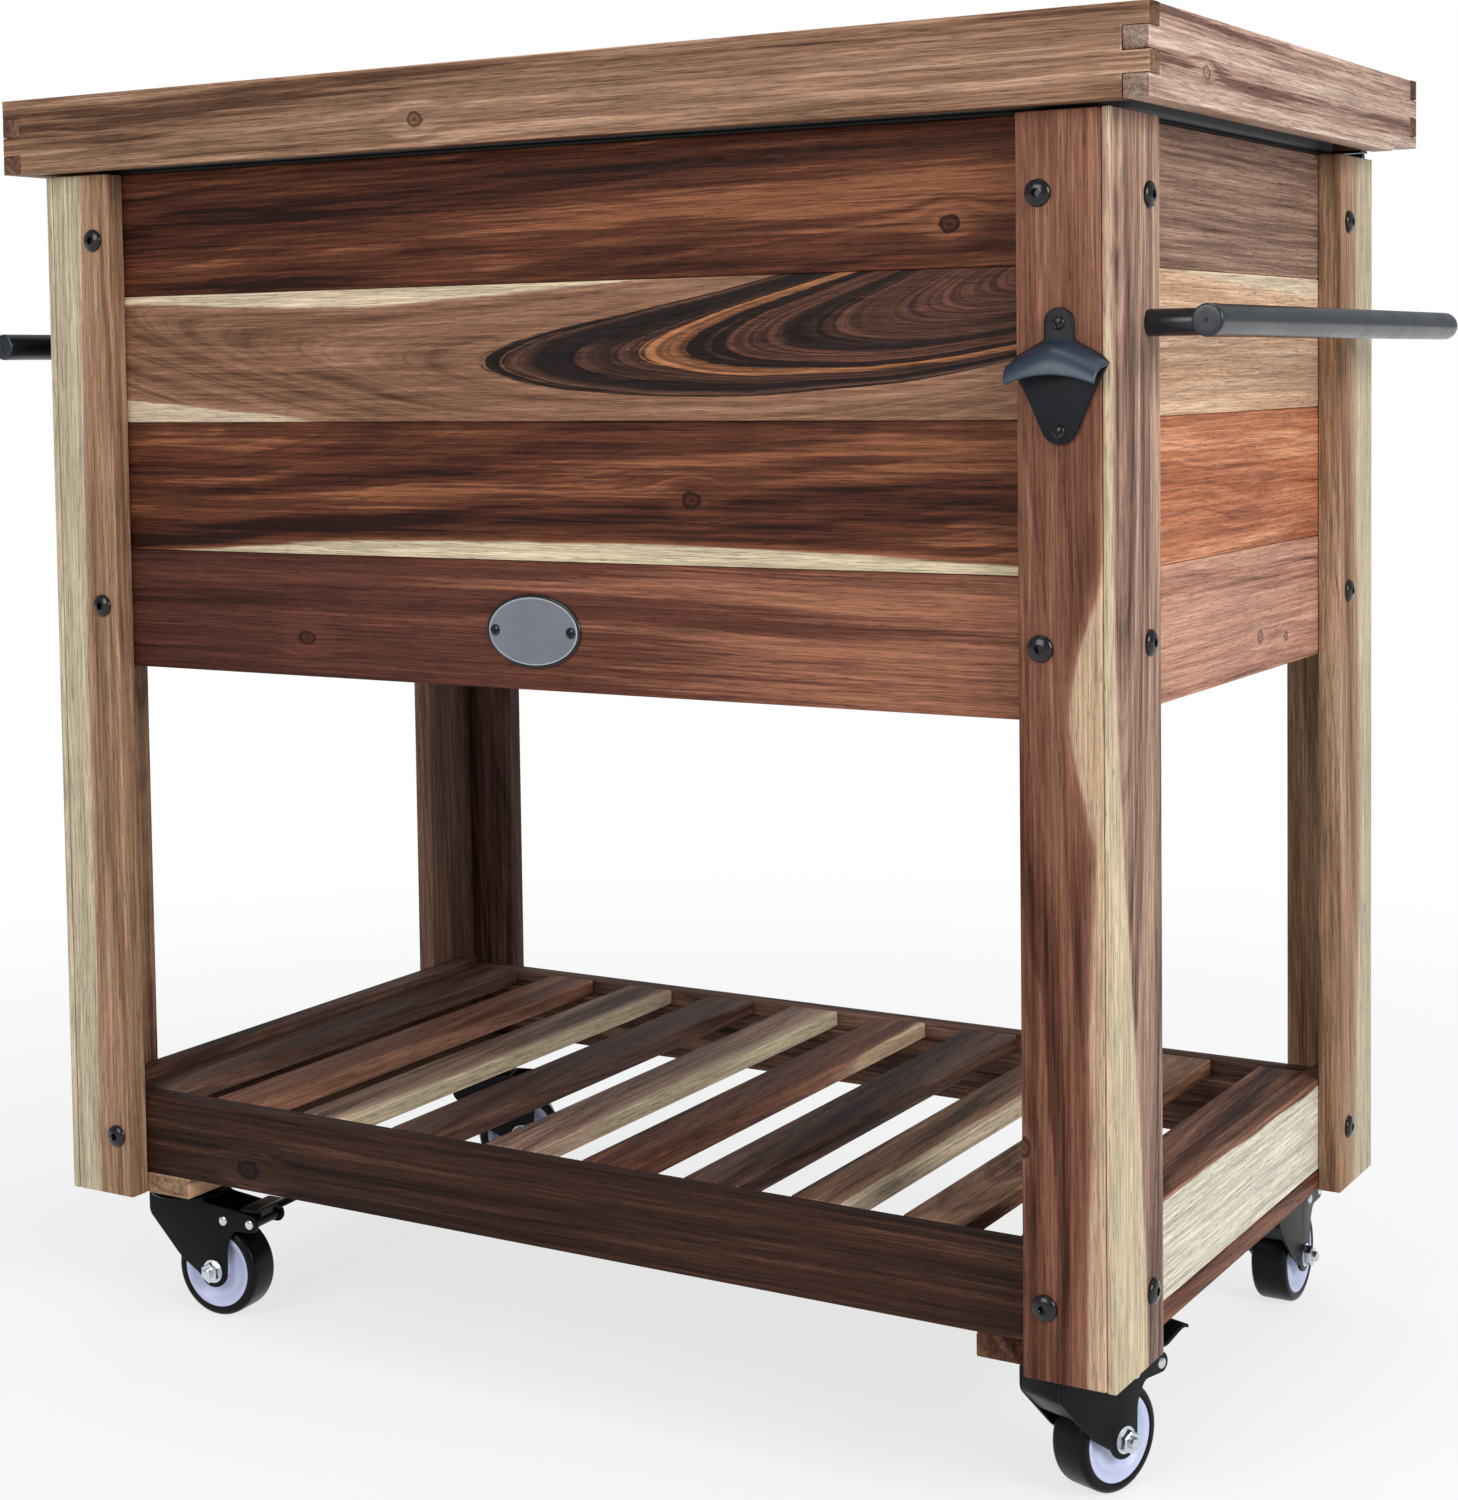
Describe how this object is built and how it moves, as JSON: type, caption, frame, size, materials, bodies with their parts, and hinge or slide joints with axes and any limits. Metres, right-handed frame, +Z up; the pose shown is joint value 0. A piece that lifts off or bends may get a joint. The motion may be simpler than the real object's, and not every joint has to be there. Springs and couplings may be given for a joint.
{
  "type": "wooden patio cooler cart",
  "caption": "Wooden patio cooler on swivel casters, with an insulated tub under a hinged lid, a slatted lower shelf, side handles and a bottle opener.",
  "frame": {"origin": "on the floor under the middle of the whole footprint, back pedal and opener included", "axes": "+X to the right along the front, +Y to the back, +Z up; the front faces -Y"},
  "size_m": [0.998, 0.5786, 0.9433],
  "materials": {
    "dark_wood": "oiled dark reclaimed timber with open grain",
    "brown_wood": "oiled mid-brown reclaimed timber",
    "red_wood": "oiled red-brown timber, semi-matte",
    "light_wood": "light tan timber with reddish streaks",
    "pale_wood": "pale sapwood with brown edges",
    "grey_wood": "grey-brown weathered timber",
    "black_steel": "satin black powder coat",
    "black_iron": "blue-black satin coating on cast metal",
    "bright_steel": "brushed stainless sheet",
    "foam": "dark matte liner over foam",
    "black_plastic": "moulded black plastic",
    "wheel": "black tyre on a pale moulded core"
  },
  "bodies": {
    "cabinet": {"back_cleat": "brown_wood", "back_rail": "brown_wood", "back_wall": "brown_wood", "badge": "black_steel", "bottle_opener": "black_iron", "caster_plate_back_left": "black_steel", "caster_plate_back_right": "black_steel", "caster_plate_front_left": "black_steel", "caster_plate_front_right": "black_steel", "drain_spout": "black_plastic", "front_cleat": "brown_wood", "front_rail": "dark_wood", "front_wall": "dark_wood", "insulation_shell": "foam", "left_caster_board": "grey_wood", "left_handle": "black_steel", "left_hinge_cabinet_leaf": "black_steel", "left_rail": "pale_wood", "left_wall": "brown_wood", "post_back_left": "brown_wood", "post_back_right": "brown_wood", "post_front_left": "red_wood", "post_front_right": "red_wood", "right_caster_board": "grey_wood", "right_handle": "black_steel", "right_hinge_cabinet_leaf": "black_steel", "right_rail": "pale_wood", "right_wall": "red_wood", "slat_01": "dark_wood", "slat_02": "brown_wood", "slat_03": "grey_wood", "slat_04": "dark_wood", "slat_05": "grey_wood", "slat_06": "dark_wood", "slat_07": "brown_wood", "slat_08": "grey_wood", "slat_09": "dark_wood", "slat_10": "grey_wood", "tub": "bright_steel"},
    "lid": {"left_hinge_lid_leaf": "black_steel", "lid_back_board": "brown_wood", "lid_front_board": "brown_wood", "lid_insulated_panel": "foam", "lid_left_board": "light_wood", "lid_right_board": "light_wood", "lid_top_panel": "red_wood", "right_hinge_lid_leaf": "black_steel"},
    "drain_cap": {"drain_cap": "black_plastic"},
    "fork_front_left": {"caster_fork_front_left": "black_steel"},
    "wheel_front_left": {"caster_wheel_front_left": "wheel"},
    "pedal_front_left": {"caster_pedal_front_left": "black_steel"},
    "fork_front_right": {"caster_fork_front_right": "black_steel"},
    "wheel_front_right": {"caster_wheel_front_right": "wheel"},
    "pedal_front_right": {"caster_pedal_front_right": "black_steel"},
    "fork_back_left": {"caster_fork_back_left": "black_steel"},
    "wheel_back_left": {"caster_wheel_back_left": "wheel"},
    "pedal_back_left": {"caster_pedal_back_left": "black_steel"},
    "fork_back_right": {"caster_fork_back_right": "black_steel"},
    "wheel_back_right": {"caster_wheel_back_right": "wheel"},
    "pedal_back_right": {"caster_pedal_back_right": "black_steel"}
  },
  "joints": [
    {"name": "lid_hinge", "type": "hinge", "parent": "cabinet", "child": "lid", "pos_m": [0, 0.2644, 0.8877], "axis": [-1, 0, 0], "range_deg": [0, 100]},
    {"name": "drain_cap_turn", "type": "hinge", "parent": "cabinet", "child": "drain_cap", "pos_m": [-0.29, 0.1153, 0.4892], "axis": [0, 0, 1], "continuous": true},
    {"name": "swivel_front_left", "type": "hinge", "parent": "cabinet", "child": "fork_front_left", "pos_m": [-0.3722, -0.2007, 0.104], "axis": [0, 0, 1], "continuous": true},
    {"name": "roll_front_left", "type": "hinge", "parent": "fork_front_left", "child": "wheel_front_left", "pos_m": [-0.33928, -0.1984, 0.0365], "axis": [-0.0698, 0.9976, 0], "continuous": true},
    {"name": "brake_front_left", "type": "hinge", "parent": "fork_front_left", "child": "pedal_front_left", "pos_m": [-0.30337, -0.19589, 0.078], "axis": [-0.0698, 0.9976, 0], "range_deg": [0, 12]},
    {"name": "swivel_front_right", "type": "hinge", "parent": "cabinet", "child": "fork_front_right", "pos_m": [0.3722, -0.2007, 0.104], "axis": [0, 0, 1], "continuous": true},
    {"name": "roll_front_right", "type": "hinge", "parent": "fork_front_right", "child": "wheel_front_right", "pos_m": [0.38294, -0.1695, 0.0365], "axis": [-0.9455, 0.3256, 0], "continuous": true},
    {"name": "brake_front_right", "type": "hinge", "parent": "fork_front_right", "child": "pedal_front_right", "pos_m": [0.39466, -0.13546, 0.078], "axis": [-0.9455, 0.3256, 0], "range_deg": [0, 12]},
    {"name": "swivel_back_left", "type": "hinge", "parent": "cabinet", "child": "fork_back_left", "pos_m": [-0.3722, 0.1913, 0.104], "axis": [0, 0, 1], "continuous": true},
    {"name": "roll_back_left", "type": "hinge", "parent": "fork_back_left", "child": "wheel_back_left", "pos_m": [-0.34692, 0.21251, 0.0365], "axis": [-0.6428, 0.766, 0], "continuous": true},
    {"name": "brake_back_left", "type": "hinge", "parent": "fork_back_left", "child": "pedal_back_left", "pos_m": [-0.31934, 0.23565, 0.078], "axis": [-0.6428, 0.766, 0], "range_deg": [0, 12]},
    {"name": "swivel_back_right", "type": "hinge", "parent": "cabinet", "child": "fork_back_right", "pos_m": [0.3722, 0.1913, 0.104], "axis": [0, 0, 1], "continuous": true},
    {"name": "roll_back_right", "type": "hinge", "parent": "fork_back_right", "child": "wheel_back_right", "pos_m": [0.3722, 0.2243, 0.0365], "axis": [-1, 0, 0], "continuous": true},
    {"name": "brake_back_right", "type": "hinge", "parent": "fork_back_right", "child": "pedal_back_right", "pos_m": [0.3722, 0.2603, 0.078], "axis": [-1, 0, 0], "range_deg": [0, 12]}
  ]
}
